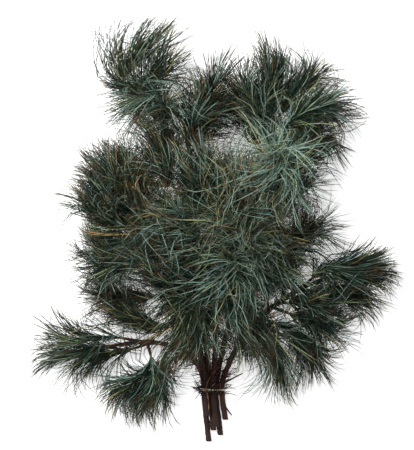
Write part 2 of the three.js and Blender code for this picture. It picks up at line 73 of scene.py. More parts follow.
# The layout, in millimetres from the middle of the band and over the surface. A bough has its cut end, its
# slot in the band (x and z), the points that its stem passes through and its bare stubs. Each of its shoots
# has how far along the stem its twig leaves, a point half way up the growth, its tip, the way its needles
# lean, and how far they stand off the shoot in degrees.
BOUGHS = {
    "left_low": {
        "cut_end": (-6, -74, 4.4),
        "slot": (-12.6, 5.45),
        "stem": [(-22, 38, 12), (-49, 60, 20), (-88, 69, 26), (-130, 66, 28)],
        "stubs": [[(-12, 4, 5.6), (-28, 2, 9)]],
        "shoots": {
            "tip": (0.95, (-141, 64, 27), (-193, 54, 20), (-0.8, -0.4, -0.2), 18),
            "upper": (0.79, (-137, 76, 40), (-186, 71, 44), (-1, -0.1, -0.3), 15),
            "lower": (0.71, (-116, 58, 16), (-160, 48, 12), (-0.8, -0.5, -0.1), 18),
            "hang_inner": (0.33, (-63, 41, 30), (-77, 9, 26), (-0.1, -1, -0.2), 25),
            "hang_middle": (0.49, (-70, 44, 16), (-92, 10, 12), (-0.3, -1, -0.1), 25),
            "hang_outer": (0.75, (-88, 44, 40), (-112, 14, 36), (-0.5, -0.8, -0.3), 25),
        },
    },
    "left": {
        "cut_end": (-6, -36, 12.8),
        "slot": (-8.4, 12.75),
        "stem": [(-24, 74, 24), (-55, 128, 36), (-90, 190, 44), (-116, 244, 50)],
        "stubs": [],
        "shoots": {
            "tip": (0.96, (-128, 262, 52), (-143, 288, 52), (-0.3, 0.9, -0.1), 40),
            "up": (0.93, (-118, 262, 70), (-120, 298, 74), (0, 0.8, -0.3), 40),
            "up_inner": (0.76, (-102, 249, 62), (-102, 295, 66), (0.1, 1, -0.2), 40),
            "out_high": (0.88, (-124, 236, 66), (-154, 250, 70), (-0.7, 0.5, -0.2), 45),
            "out": (0.76, (-112, 202, 40), (-140, 204, 36), (-0.7, -0.3, -0.2), 45),
            "out_droop": (0.68, (-104, 184, 60), (-134, 180, 60), (-0.6, -0.7, -0.3), 45),
            "side": (0.54, (-84, 134, 26), (-128, 132, 18), (-1, 0, -0.1), 20),
            "side_low": (0.39, (-72, 93, 36), (-108, 96, 32), (-1, 0, -0.2), 20),
            "over": (0.50, (-66, 158, 72), (-77, 184, 90), (-0.2, -0.5, -0.5), 70),
        },
    },
    "top_left": {
        "cut_end": (1, -58, 4.4),
        "slot": (-4.2, 5.45),
        "stem": [
            (-12, 80, 20), (-29, 172, 40), (-38, 270, 55), (-49, 340, 62), (-88, 393, 66), (-113, 417, 68),
        ],
        "stubs": [],
        "shoots": {
            "tip": (0.96, (-124, 430, 72), (-108, 464, 78), (0.8, 0.6, -0.1), 30),
            "inner": (0.95, (-102, 421, 84), (-81, 440, 88), (0.8, 0.3, -0.3), 45),
            "curl": (0.90, (-67, 396, 84), (-84, 405, 84), (-0.3, -1.2, -0.3), 45),
            "under": (0.81, (-74, 384, 50), (-95, 412, 44), (-0.2, 0.9, -0.1), 35),
            "spire": (0.66, (-29, 370, 80), (-7, 421, 84), (0.5, 0.8, -0.1), 20),
            "spire_low": (0.71, (-18, 361, 56), (-12, 398, 52), (0.3, 0.9, -0.1), 35),
            "up": (0.61, (-63, 298, 74), (-74, 340, 78), (-0.2, 1, -0.2), 40),
            "over": (0.42, (-67, 221, 88), (-99, 232, 98), (-0.2, 0.3, -0.5), 75),
        },
    },
    "top_right": {
        "cut_end": (11, -65, 4.4),
        "slot": (4.2, 5.45),
        "stem": [(21, 88, 18), (45, 186, 34), (69, 280, 50), (82, 352, 58), (86, 384, 60)],
        "stubs": [],
        "shoots": {
            "tip": (0.96, (84, 404, 62), (81, 430, 66), (0, 1, -0.1), 35),
            "outer": (0.94, (103, 408, 52), (128, 430, 48), (0.9, 0.3, -0.2), 26),
            "inner": (0.90, (64, 382, 80), (50, 404, 84), (-0.8, 0.2, -0.3), 40),
            "inner_low": (0.83, (54, 366, 44), (38, 392, 38), (-0.3, 0.8, -0.1), 40),
            "right_high": (0.89, (118, 386, 82), (150, 398, 84), (0.9, 0.3, -0.2), 20),
            "right": (0.79, (118, 372, 60), (154, 384, 56), (1, 0, -0.2), 22),
            "right_low": (0.75, (118, 354, 38), (154, 360, 28), (0.9, -0.4, -0.1), 22),
            "side": (0.68, (92, 303, 62), (116, 314, 60), (1, 0, -0.3), 35),
            "side_low": (0.59, (82, 266, 34), (104, 276, 28), (0.9, -0.1, -0.1), 40),
            "crown": (0.70, (83, 300, 98), (88, 337, 118), (-0.5, -0.7, -0.5), 85),
            "low": (0.20, (35, 122, 38), (30, 142, 54), (-0.3, -1, -0.4), 55),
            "mid": (0.47, (56, 232, 78), (60, 262, 92), (-0.6, -0.5, -0.5), 75),
        },
    },
    "right": {
        "cut_end": (18, -43, 4.6),
        "slot": (12.8, 5.45),
        "stem": [(34, 60, 14), (73, 109, 24), (120, 143, 32), (156, 158, 38)],
        "stubs": [
            [(13, -18, 5.2), (27, -37, 8)],
            [(13, 8, 6), (42, 24, 16)],
            [(16, 28, 9), (33, 53, 15)],
        ],
        "shoots": {
            "tip": (0.96, (166, 162, 38), (190, 166, 34), (1, 0, -0.2), 22),
            "upper": (0.84, (150, 168, 58), (186, 178, 60), (1, 0.2, -0.2), 22),
            "lower": (0.80, (154, 141, 22), (186, 130, 16), (0.9, -0.5, -0.1), 24),
            "fan_high": (0.66, (115, 125, 56), (147, 121, 56), (0.8, -0.5, -0.3), 28),
            "fan": (0.61, (122, 104, 34), (154, 90, 28), (0.8, -0.6, -0.2), 26),
            "fan_low": (0.50, (101, 90, 20), (129, 67, 13), (0.6, -0.9, -0.1), 26),
            "hang": (0.35, (63, 88, 42), (77, 67, 40), (0.1, -1, -0.3), 24),
            "inward": (0.69, (108, 188, 52), (129, 221, 56), (0.8, 0.3, -0.3), 40),
            "inward_high": (0.57, (77, 165, 66), (87, 200, 72), (0.3, -0.6, -0.4), 60),
        },
    },
    "middle": {
        "cut_end": (5, -52, 12.8),
        "slot": (0, 12.75),
        "stem": [(4, 74, 30), (1, 144, 56), (-1, 200, 72), (-11, 249, 82)],
        "stubs": [],
        "shoots": {
            "tip": (0.96, (-15, 263, 86), (-18, 298, 92), (-0.1, 0.9, -0.4), 60),
            "crown": (0.61, (18, 160, 84), (25, 186, 102), (0, -0.8, -0.5), 85),
            "left": (0.56, (-25, 151, 80), (-49, 169, 88), (-0.5, -0.5, -0.5), 65),
            "right": (0.75, (31, 202, 90), (52, 225, 96), (0.4, 0.1, -0.5), 65),
            "over": (0.92, (13, 249, 96), (21, 277, 102), (0.1, 0.5, -0.5), 70),
            "over_left": (0.86, (-25, 214, 98), (-43, 235, 106), (-0.5, 0.3, -0.5), 70),
            "droop_left": (0.51, (-18, 122, 76), (-32, 104, 78), (-0.1, -1, -0.4), 45),
            "droop_right": (0.51, (27, 118, 76), (38, 99, 76), (0.2, -1, -0.4), 45),
            "low_left": (0.33, (-20, 116, 48), (-42, 132, 56), (0.3, -1, -0.4), 50),
        },
    },
}

# The wood, in the layout's millimetres
SLOT_HALF = 12.0  # half the length over which the stems lie side by side at the band
STEM_RADII = (4.0, 2.4)  # at the band and at the tip
STEM_TAPER = 1.3  # how late along its length a stem thins, as a power
STEM_STEP = 2.5  # between the rings of a stem
EASED_RINGS = 4  # how many rings to either side the corner before the band is eased over
COLLAR_REACH = 5  # how far along the stem the swelling at a twig fades
TIP_SHARE = 0.35  # how thick a stem is at its very end, as a share of what it would be
TIP_TAPER = 6  # back from the end it gains thickness at a rate of one whole share in this length
TWIG_RADII = (2.8, 1.9)
TWIG_IN_STEM = 0.9  # the most that a twig's radius is, as a share of the stem's
STUB_RADII = (1.5, 0.8)
STUB_ARCH = 1.2  # how high a stub arches
SHOOT_RADII = (1.7, 1.2)
BUD_RADII = (1.75, 1.5, 0.15)
BUD_SHARES = (0.88, 0.93, 0.96, 1)  # where along the shoot its bud begins, and where it has those radii
THIN_SIDES = 10  # faces round a twig, stub or shoot
TWIG_RINGS, STUB_RINGS, SHOOT_RINGS = 16, 12, 34
NEEDLED_FROM = 0.3  # where the needles begin, as a share of the growth from the stem to a shoot's tip
TWIG_LAP = 0.02  # how much further than that the twig reaches into the shoot
BAND_CENTRE = 0.1  # x of the middle of the band's own box
BAND_LIFT = 0.0168  # how far the band's underside is over z = 0 of the layout

# The relief of bark and shoots: how long a lump is, in metres, and how deep, as a share of the radius
BARK_PLATES = (0.009, 0.05)
BARK_SCALES = (0.0032, 0.05)
SCALE_STRETCH = (1, 0.45, 1)  # squeezes space, so that scales are longer along Y, the way most stems run
SHOOT_RELIEF = (0.0035, 0.12)

# Dead twiglets, placed in millimetres along a stem from where it begins to bend away from the others
PRICKLED_FROM = -22
PRICKLED_LOW = 1.7  # the power that makes them denser low down
BARE_BEND = 4  # half the stretch at that bend that has none
PRICKLE_ANGLES = (30, 75)  # between a twiglet and the stem, in degrees
PRICKLE_LENGTHS = (0.3, 1)  # as shares of the longest
PRICKLE_BEND = 0.4
PRICKLE_STEPS = 4

# How pale a spray's needles are, where they aren't of the usual tone. 0 is the darkest and 1 the palest.
# Most of these sprays lie on top of the bunch, and their paleness is partly their own colour and partly
# painted light, where the light falls on the top.
TONES = {
    "top_right_crown": 0.8,
    "middle_right": 0.6,
    "middle_over": 0.5,
    "middle_crown": 0.5,
    "middle_over_left": 0.42,
    "right_inward_high": 0.5,
    "top_left_over": 0.42,
    "right_hang": 0.55,
    "top_left_curl": 0.4,
}
USUAL_TONE = 0.25

# Sprays that look unlike the rest: which way their needles lean, how many times longer the needles are, how
# many times further those of a bundle part, and how many times as many bundles there are
HABITS = {
    "top_right_crown": ((-1.9, -1.1, -0.5), 1.3, 2.0, 1.0),
    "middle_crown": ((-0.6, -1.3, -0.5), 1.15, 1.5, 0.9),
    "middle_over": ((0.1, 0.9, -0.5), 1.2, 1.6, 1.0),
    "top_right_mid": ((-1.2, -0.1, -0.5), 1.2, 1.5, 1.7),
    "top_left_tip": ((0.5, 1.4, 0), 1.25, 1.4, 1.0),
    "top_left_spire": ((-0.1, 1.1, 0), 1.1, 1.2, 1.0),
    "middle_droop_left": ((0.2, -1.4, -0.3), 1.1, 1.2, 1.0),
    "middle_droop_right": ((-0.2, -1.4, -0.3), 1.1, 1.2, 1.0),
    "right_hang": ((-0.1, -1.3, -0.3), 1.25, 1.6, 0.8),
    "left_low_tip": ((-1.2, -0.8, -0.1), 1.1, 1.2, 0.75),
    "left_low_upper": ((-1.4, -0.2, -0.1), 1.15, 1.2, 0.6),
    "left_low_lower": ((-0.8, -0.6, -0.1), 1.0, 1.2, 0.75),
}
USUAL_STAND = 50  # a spray that stands off this much, in degrees, curls by the usual amount

# The tie, in the layout's millimetres
BAND_GAP = 0.35  # between the stems and the band, and between the band and the surface
TURN_LIFTS = (0.5, 0.6)  # how far out the first turn is, and each further one from it, in thicknesses
TURN_APART = 0.9  # along the stems
TURN_WAVE = 0.5  # how far a turn wanders along the stems
TURN_SHIFT = 2.1  # how much later, in radians, each turn wanders than the last
TURN_POINTS = 140
OUTLINE_POINTS = 361
STRIP_SIDES = 8
KNOT = (-9.4, 0.8)
KNOT_HALVES = (2.2, 1.5, 0.8)
KNOT_LIFT = 2.2  # the knot's middle over the stems
KNOT_POINTS = 60
KNOT_STRAND = 0.42  # half the width of the knot's strand, as a share of the strip's
KNOT_FLAT, END_FLAT = 0.5, 0.25  # how thick the strip is for its width, in the knot and in the loose ends
END_WIDTHS = ([0, 0.1, 0.85, 1], [0.8, 1, 0.8, 0.2])  # shares of a loose end's length, and its width there
END_LIFTS = (1.6, 0.9)  # how high a loose end is over the stems, at the knot and at its tip
END_POINTS = 48
END_EASED = 5  # points to either side that its height is eased over
END_TWIST = (1.4, 7)  # how far it turns to and fro, and over what angle of a sine wave, in radians

# The raffia's loose ends, each from its first point, with its width as a share of the band's strip. The
# third number is how far the end stands off the stems.
LOOSE_ENDS = [
    ([(-9.4, 0.8, 1), (-7.8, 10.5, 2), (-2, 21.7, 2), (5.6, 30.1, 1), (12.6, 34.3, 1)], 1.0),
    ([(-9.4, 0.8, 1), (-7, -9.9, 1), (-5.9, -19.9, 0), (-6.2, -30.7, 0)], 1.0),
    ([(-8, 2.1, 1), (2.8, 9.7, 1), (11.8, 20.3, 1)], 0.7),
    ([(11.8, 22.4, 0), (10.8, 6.7, 1), (10.4, -14.7, 0)], 0.6),
    ([(-9.4, 0.8, 1), (-14, 1.6, 0), (-20.2, 5.7, 1)], 0.7),
]

# The sprays round this point of the layout have more needles, and those further off than the reach, in
# metres, hardly more.
FULLEST_AT = (5, 225, 0)
FULL_REACH = 0.16

# How the bundles of a spray differ. A pair is the least and the most that is drawn.
GOLDEN_ANGLE = 2.39996  # from one bundle to the next round the shoot
AROUND_SPREAD = 0.25  # how far a bundle is off that angle
TONE_SPREAD = 0.06
WARM_EDGE = (0.85, 1.3)  # the power that the draw of a bundle's cast is raised to, outside and inside
FEW_SHORT = 1.5  # the power that makes short bundles rarer than long ones
LEANINGS = (0.4, 1.0)
SPREADS = (0.6, 1.3)
PARTINGS = (0.5, 1.7)
WILDER = 3  # how many times as far a wild bundle strays
LEAST_LOOSE = 0.8  # tight sprays curl by this share at least

# How the needles of a bundle differ
FAN_ROUND = 2.2  # how much further needles part round the shoot than away from it
NEEDLE_SHARES = (0.82, 1.0)  # their lengths, as shares of the bundle's
DARK_GLINT = 0.6  # how much the needles of the darkest bundles still glint

# Along a shoot
NEEDLED_TO = 0.9  # the last bundle leaves it here, as a share
CLOSING = 0.6  # how much closer to the shoot the last bundles stand than the first
NEARBY = 0.02  # headings are taken over this share of a line

# Along a needle, as shares of its length
TURNS_FROM, TURNS_OVER = 0.05, 0.7  # where it begins to turn from its first way to its last, and how long
LIES_AT = 0.0005  # how high over the floor a needle's middle line lies, in metres
FULL_LIGHT_AT = 0.75  # needles at this share of the bunch's height keep their tone, lower ones are darker with painted shade, and higher ones paler with painted light
DRIFT_SIZES = (0.12, 0.14, 0.17)  # how long the bends are that neighbouring needles share, for x, y and z

# The photograph: its size and the place of the band in pixels, and the millimetres that a pixel stands for
PHOTO_SIZE = (414, 450)
BAND_PIXEL = (213, 392.5)
PIXEL = 1.4
MIDDLE_LEVEL = 0.05  # the height at which it stands for that, in metres

# The stage, in metres
FLOOR_HALF = 4.0
LAMP_SIZE = 1.6
LAMP_AT = (-1.0, 1.1, 1.9)

# For materials: the settings of a node that multiplies two colours, and the two ends of a mask
MULTIPLIED = {"data_type": "RGBA", "blend_type": "MULTIPLY"}
OFF, ON = (0, 0, 0), (1, 1, 1)
MOTTLED = 0.985  # how bright the darkest patches of the floor are

# Powers for path_through: every stretch takes the same time, or the square root of its length
UNIFORM, CENTRIPETAL = 0.0, 0.5


def from_band(points):
    """Points of the layout as points of the frame, in metres and moved to where the band is."""
    low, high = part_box("band")
    middle = [(low.x + high.x) / 2 - BAND_CENTRE * MM, (low.y + high.y) / 2, low.z - BAND_LIFT * MM]
    return np.asarray(points, float) * MM + np.array(middle)


# Lines


def unit(vectors):
    """Vectors divided by their lengths."""
    return vectors / np.maximum(np.linalg.norm(vectors, axis=-1, keepdims=True), 1e-12)


def path_through(points, power, steps=48):
    """A smooth line through points. Between two points it is the cubic that keeps the slopes which the
    neighbours set, and the time from one point to the next is their distance to a power. Past the ends the
    first and last steps are mirrored."""
    p = np.asarray(points, float)
    p = np.vstack([2 * p[0] - p[1], p, 2 * p[-1] - p[-2]])
    gaps = np.linalg.norm(np.diff(p, axis=0), axis=1) ** power
    before, gap, after = gaps[:-2, None], gaps[1:-1, None], gaps[2:, None]
    p0, p1, p2, p3 = p[:-3], p[1:-2], p[2:-1], p[3:]
    leave = gap * ((p1 - p0) / before - (p2 - p0) / (before + gap) + (p2 - p1) / gap)
    arrive = gap * ((p2 - p1) / gap - (p3 - p1) / (gap + after) + (p3 - p2) / after)
    t = np.linspace(0, 1, steps, endpoint=False)[None, :, None]
    p1, p2, leave, arrive = (x[:, None] for x in (p1, p2, leave, arrive))
    line = (2 * t**3 - 3 * t**2 + 1) * p1 + (t**3 - 2 * t**2 + t) * leave
    line = line + (3 * t**2 - 2 * t**3) * p2 + (t**3 - t**2) * arrive
    return np.vstack([line.reshape(-1, 3), p[-2]])


def length_of(line):
    """The length of a line of points."""
    return np.linalg.norm(np.diff(line, axis=0), axis=1).sum()


def at_shares(line, shares):
    """Points at shares of a line's length, each on the straight piece that its share falls in."""
    way = np.concatenate([[0], np.cumsum(np.linalg.norm(np.diff(line, axis=0), axis=1))])
    wanted = np.asarray(shares, float) * way[-1]
    return np.stack([np.interp(wanted, way, line[:, k]) for k in range(3)], axis=-1)


def softened(line, reach):
    """A line of even steps with its corners eased: each point is the mean of its neighbours within
    reach."""
    padded = np.vstack([np.repeat(line[:1], reach, 0), line, np.repeat(line[-1:], reach, 0)])
    padded[:reach] = 2 * line[0] - line[reach:0:-1]
    padded[-reach:] = 2 * line[-1] - line[-2 : -reach - 2 : -1]
    sums = np.cumsum(np.vstack([np.zeros((1, 3)), padded]), axis=0)
    width = 2 * reach + 1
    return (sums[width:] - sums[:-width]) / width


def directions_across(headings):
    """Two directions square to each heading and to each other. The first is level, unless the headings are
    nearly upright, when it is square to +Y."""
    steep = np.abs(headings.reshape(-1, 3)[:, 2]).mean() > 0.9
    reference = np.array([0.0, 1.0, 0.0]) if steep else np.array([0.0, 0.0, 1.0])
    side = unit(np.cross(headings, reference))
    return side, np.cross(headings, side)


def lumps(points, size, seed, waves=9):
    """Smooth random lumps: the sum of cosine waves that run in random directions through space, each 2/3 to 5/3
    of the size long, scaled so that hardly any lump is past 1 or -1."""
    rng = np.random.default_rng(seed)
    ways = unit(rng.normal(size=(waves, 3))) * rng.uniform(0.6, 1.5, (waves, 1)) * 2 * np.pi / size
    phases = rng.uniform(0, 2 * np.pi, waves)
    return np.cos(points @ ways.T + phases).sum(-1) / np.sqrt(waves / 2) / 1.6


# Surfaces


def ring_quads(rows, sides):
    """The faces of a grid of rows that closes on itself sideways, each seen from outside."""
    row, side = np.meshgrid(np.arange(rows - 1), np.arange(sides), indexing="ij")
    a, b = row * sides + side, row * sides + (side + 1) % sides
    return np.stack([a, b, b + sides, a + sides], axis=-1).reshape(-1, 4)


def tube(line, radii, sides, relief=None, cut=False, flat=1.0, twist=0.0):
    """A round or flattened profile carried along a line. Ring i stands square to the line at point i, an
    ellipse as wide as radius i and as thick as that times flat, turned round the line by twist i, all times
    one plus the relief there. Both ends are closed to a point in the middle of the end ring, and with cut
    the first ring is level with the cut, a plane square to +Y."""
    headings = unit(np.gradient(line, axis=0))
    side, over = directions_across(headings)
    turn = np.arange(sides) * 2 * np.pi / sides
    twist = np.broadcast_to(twist, len(line))[:, None]
    wide, thick = np.cos(turn), np.sin(turn) * flat
    level = (wide * np.cos(twist) - thick * np.sin(twist))[..., None]
    raised = (wide * np.sin(twist) + thick * np.cos(twist))[..., None]
    out = side[:, None] * level + over[:, None] * raised
    rings = line[:, None] + out * np.asarray(radii)[:, None, None]
    if relief is not None:
        rings = rings + out * np.asarray(radii)[:, None, None] * relief(rings)[..., None]
    if cut:
        skew = (rings[0, :, 1] - line[0, 1]) / headings[0, 1]
        rings[0] = rings[0] - headings[0] * skew[:, None]
    rows = len(line)
    quads = ring_quads(rows, sides)
    first, last = rows * sides, rows * sides + 1
    around = np.arange(sides)
    end = (rows - 1) * sides
    caps = [np.stack([np.full(sides, first), (around + 1) % sides, around], axis=-1)]
    caps += [np.stack([np.full(sides, last), end + around, end + (around + 1) % sides], axis=-1)]
    share = np.concatenate([np.repeat(np.linspace(0, 1, rows), sides), [0, 1]])
    vertices = np.vstack([rings.reshape(-1, 3), line[:1], line[-1:]])
    return {
        "vertices": vertices,
        "quads": quads,
        "triangles": np.vstack(caps),
        "along": share,
        "inner": np.concatenate([np.tile((1 + wide) / 2, rows), [0.5, 0.5]]),
        "quad_slots": np.zeros(len(quads), int),
        "triangle_slots": np.zeros(2 * sides, int),
    }


def turn_of_band(line, width, thickness, sides=STRIP_SIDES):
    """A flat strip along a closed line that runs round the stems, square to +Y: at each point an ellipse of
    the strip's width along Y and its thickness along the normal."""
    headings = unit(np.roll(line, -1, axis=0) - np.roll(line, 1, axis=0))
    along_y = np.array([0.0, 1.0, 0.0])
    normal = unit(np.cross(headings, along_y))
    turn = np.arange(sides) * 2 * np.pi / sides
    rings = line[:, None] + along_y * (np.cos(turn) * width / 2)[:, None]
    rings = rings + normal[:, None] * (np.sin(turn) * thickness / 2)[:, None]
    row, side = np.meshgrid(np.arange(len(line)), np.arange(sides), indexing="ij")
    beside, onward = (side + 1) % sides, (row + 1) % len(line)
    corners = [row * sides + side, onward * sides + side, onward * sides + beside, row * sides + beside]
    quads = np.stack(corners, axis=-1).reshape(-1, 4)
    return {
        "vertices": rings.reshape(-1, 3),
        "quads": quads,
        "triangles": np.zeros((0, 3), int),
        "along": np.repeat(np.linspace(0, 6, len(line)), sides),
        "inner": np.tile((1 + np.cos(turn)) / 2, len(line)),
        "quad_slots": np.zeros(len(quads), int),
        "triangle_slots": np.zeros(0, int),
    }


def needle_part(lines, radius, twist, tones):
    """Three-sided needles round their middle lines. A ring of three points stands square to the line at
    each point but the last, where the needle ends in its tip. Its radius is the full one over the first
    three quarters and then thins, as the square root of what is left of the way to the tip."""
    count, points = lines.shape[:2]
    rows = points - 1
    headings = unit(np.gradient(lines, axis=1))[:, :rows]
    bend = np.cross(lines[:, 1] - lines[:, 0], lines[:, -1] - lines[:, 0])
    level = np.cross(headings[:, 0], np.array([0.0, 0.0, 1.0]))
    side = unit(np.where(np.linalg.norm(bend, axis=1, keepdims=True) > 1e-8, bend, level))[:, None]
    side = unit(side - headings * (headings * side).sum(-1, keepdims=True))
    over = np.cross(headings, side)
    turn = twist[:, None] + np.arange(3) * 2 * np.pi / 3
    cos, sin = np.cos(turn)[:, None, :, None], np.sin(turn)[:, None, :, None]
    way = np.arange(rows) / rows
    thick = radius * np.minimum(1, np.sqrt(4 * (1 - way) + 0.05))
    out = side[:, :, None] * cos + over[:, :, None] * sin
    rings = lines[:, :rows, None] + out * thick[None, :, None, None]
    each = 3 * rows + 1
    vertices = np.concatenate([rings.reshape(count, -1, 3), lines[:, -1:]], axis=1).reshape(-1, 3)
    first = (np.arange(count) * each)[:, None, None]
    quads = (ring_quads(rows, 3)[None] + first).reshape(-1, 4)
    top = 3 * (rows - 1)
    tip = each - 1
    ends = np.array([[0, 2, 1], [top, top + 1, tip], [top + 1, top + 2, tip], [top + 2, top, tip]])
    triangles = (ends[None] + first).reshape(-1, 3)
    along = np.concatenate([np.repeat(way, 3), [1]])
    inner = np.concatenate([np.tile([0, 1, 1], rows), [0.6]])
    return {
        "vertices": vertices,
        "quads": quads,
        "triangles": triangles,
        "along": np.tile(along, count),
        "inner": np.tile(inner, count),
        "tone": np.repeat(tones, each),
        "quad_slots": np.zeros(len(quads), int),
        "triangle_slots": np.zeros(len(triangles), int),
    }


def make_piece(name, parts, materials, replaces, body="root"):
    """One mesh object out of parts, with the parts' values as attributes of its points."""
    counts = [len(part["vertices"]) for part in parts]
    starts = np.concatenate([[0], np.cumsum(counts)[:-1]])
    quads = np.vstack([part["quads"] + start for part, start in zip(parts, starts)])
    triangles = np.vstack([part["triangles"] + start for part, start in zip(parts, starts)])
    slots = [part["quad_slots"] for part in parts] + [part["triangle_slots"] for part in parts]
    mesh = bpy.data.meshes.new(name)
    mesh.vertices.add(sum(counts))
    places = np.vstack([part["vertices"] for part in parts])
    mesh.vertices.foreach_set("co", places.astype(np.float32).ravel())
    mesh.loops.add(quads.size + triangles.size)
    corners = np.concatenate([quads.ravel(), triangles.ravel()])
    mesh.loops.foreach_set("vertex_index", corners.astype(np.int32))
    loops = np.concatenate([np.arange(len(quads)) * 4, quads.size + np.arange(len(triangles)) * 3])
    mesh.polygons.add(len(loops))
    mesh.polygons.foreach_set("loop_start", loops.astype(np.int32))
    mesh.polygons.foreach_set("material_index", np.concatenate(slots).astype(np.int32))
    mesh.polygons.foreach_set("use_smooth", np.ones(len(loops), bool))
    for value in ("along", "inner", "tone", "tint"):
        each = [np.broadcast_to(np.asarray(part.get(value, 0.0), float), n) for part, n in zip(parts, counts)]
        attribute = mesh.attributes.new(value, "FLOAT", "POINT")
        attribute.data.foreach_set("value", np.concatenate(each).astype(np.float32))
    mesh.update(calc_edges=True)
    for material in materials:
        mesh.materials.append(material)
    piece = bpy.data.objects.new(name, mesh)
    bpy.context.scene.collection.objects.link(piece)
    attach(piece, body)
    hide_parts(*replaces)
    return piece


# Materials


def linear(colour):
    """An sRGB colour written #rrggbb as linear red, green and blue."""
    value = np.array([int(colour[k : k + 2], 16) for k in (1, 3, 5)]) / 255
    return tuple(np.where(value <= 0.04045, value / 12.92, ((value + 0.055) / 1.055) ** 2.4))


def add_node(material, kind, settings=None, inputs=None):
    """A node of a kind, with its settings, and each input either a constant or linked to an output. The
    setting "stops" gives a colour ramp's places and colours."""
    node = material.node_tree.nodes.new(kind)
    for name, value in (settings or {}).items():
        if name == "stops":
            ramp = node.color_ramp
            while len(ramp.elements) < len(value):
                ramp.elements.new(1.0)
            for element, (place, colour) in zip(ramp.elements, value):
                element.position = place
                element.color = (*colour, 1.0)
        else:
            setattr(node, name, value)
    for name, value in (inputs or {}).items():
        if isinstance(value, bpy.types.NodeSocket):
            material.node_tree.links.new(value, node.inputs[name])
        else:
            node.inputs[name].default_value = value
    return node


def new_material(name):
    """An empty node material, with its output node."""
    material = bpy.data.materials.new(name)
    material.use_nodes = True
    material.node_tree.nodes.clear()
    return material, add_node(material, "ShaderNodeOutputMaterial")


def finish_material(material, output, **inputs):
    """Ends a material in one Principled shader with the given inputs, their names' spaces written as _."""
    named = {name.replace("_", " "): value for name, value in inputs.items()}
    shader = add_node(material, "ShaderNodeBsdfPrincipled", None, named)
    material.node_tree.links.new(shader.outputs["BSDF"], output.inputs["Surface"])
    return material


def needle_material(colours):
    """Live pine needles. A waxy skin over green, with rows of fine white pores on the two inner sides, so
    that those look blue-grey and the outer side a deep green. The pores are too fine to show one by one, so
    a whole inner side is paler. Tips dry to brown, and a needle is yellower where it leaves the shoot. The
    wax is satin and shines little at this size."""
    material, output = new_material("pine_needles_waxy")
    along, inner, tone, tint = (
        add_node(material, "ShaderNodeAttribute", {"attribute_name": name}).outputs["Fac"]
        for name in ("along", "inner", "tone", "tint")
    )
    place = add_node(material, "ShaderNodeTexCoord").outputs["Object"]
    # Patches of weathering 25 mm across
    patches = add_node(material, "ShaderNodeTexNoise", None, {"Vector": place, "Scale": 40.0, "Detail": 2.0})
    weathering = {"Value": patches.outputs["Fac"], "To Min": -0.18, "To Max": 0.18}
    shift = add_node(material, "ShaderNodeMapRange", None, weathering)
    # The tone holds each needle's own paleness together with painted shade low in the bunch and painted light
    # near its top
    bloom = add_node(material, "ShaderNodeMath", {"operation": "MULTIPLY_ADD"}, {0: inner, 1: 0.22, 2: tone})
    mixed = add_node(
        material, "ShaderNodeMath", {"operation": "ADD"}, {0: bloom.outputs[0], 1: shift.outputs["Result"]}
    )
    shade = add_node(
        material,
        "ShaderNodeValToRGB",
        {"stops": [(0.0, colours["deep"]), (0.45, colours["fresh"]), (1.0, colours["pale"])]},
        {"Fac": mixed.outputs[0]},
    )
    # Some bundles are bluer, some yellower, and a few are dry
    casts = [(0.0, colours["blue_cast"]), (0.5, ON), (0.9, colours["olive_cast"]), (1.0, colours["dry_cast"])]
    cast = add_node(material, "ShaderNodeValToRGB", {"stops": casts}, {"Fac": tint})
    green = add_node(
        material, "ShaderNodeMix", MULTIPLIED, {0: 1.0, 6: shade.outputs["Color"], 7: cast.outputs["Color"]}
    )
    # The yellow fades over the first seventh of a needle, and the brown comes over the last fifth
    faded = [(0.0, ON), (0.14, OFF), (0.8, OFF), (0.97, ON)]
    ends = add_node(material, "ShaderNodeValToRGB", {"stops": faded}, {"Fac": along})
    end_colour = add_node(
        material,
        "ShaderNodeValToRGB",
        {"stops": [(0.4, colours["base"]), (0.6, colours["tip"])]},
        {"Fac": along},
    )
    share = add_node(
        material, "ShaderNodeMath", {"operation": "MULTIPLY"}, {0: ends.outputs["Color"], 1: 0.8}
    )
    colour = add_node(
        material,
        "ShaderNodeMix",
        {"data_type": "RGBA"},
        {0: share.outputs[0], 6: green.outputs[2], 7: end_colour.outputs["Color"]},
    )
    return finish_material(
        material, output, Base_Color=colour.outputs[2], Roughness=0.5, Specular_IOR_Level=0.15
    )


def shoot_material(colours):
    """This year's shoot, with thin olive bark that turns orange-brown at the bud."""
    material, output = new_material("pine_shoot_bark")
    along = add_node(material, "ShaderNodeAttribute", {"attribute_name": "along"}).outputs["Fac"]
    place = add_node(material, "ShaderNodeTexCoord").outputs["Object"]
    # Scars where needles left the shoot, about 2 mm apart
    scars = add_node(material, "ShaderNodeTexVoronoi", None, {"Vector": place, "Scale": 500.0})
    colour = add_node(
        material,
        "ShaderNodeValToRGB",
        {"stops": [(0.0, colours["shoot"]), (0.85, colours["shoot"]), (0.95, colours["bud"])]},
        {"Fac": along},
    )
    spots = scars.outputs["Distance"]
    dark = add_node(material, "ShaderNodeMix", MULTIPLIED, {0: 0.5, 6: colour.outputs["Color"], 7: spots})
    bump = add_node(
        material, "ShaderNodeBump", None, {"Height": spots, "Strength": 0.5, "Distance": 0.0005}
    )
    return finish_material(
        material, output, Base_Color=dark.outputs[2], Roughness=0.75, Normal=bump.outputs["Normal"]
    )


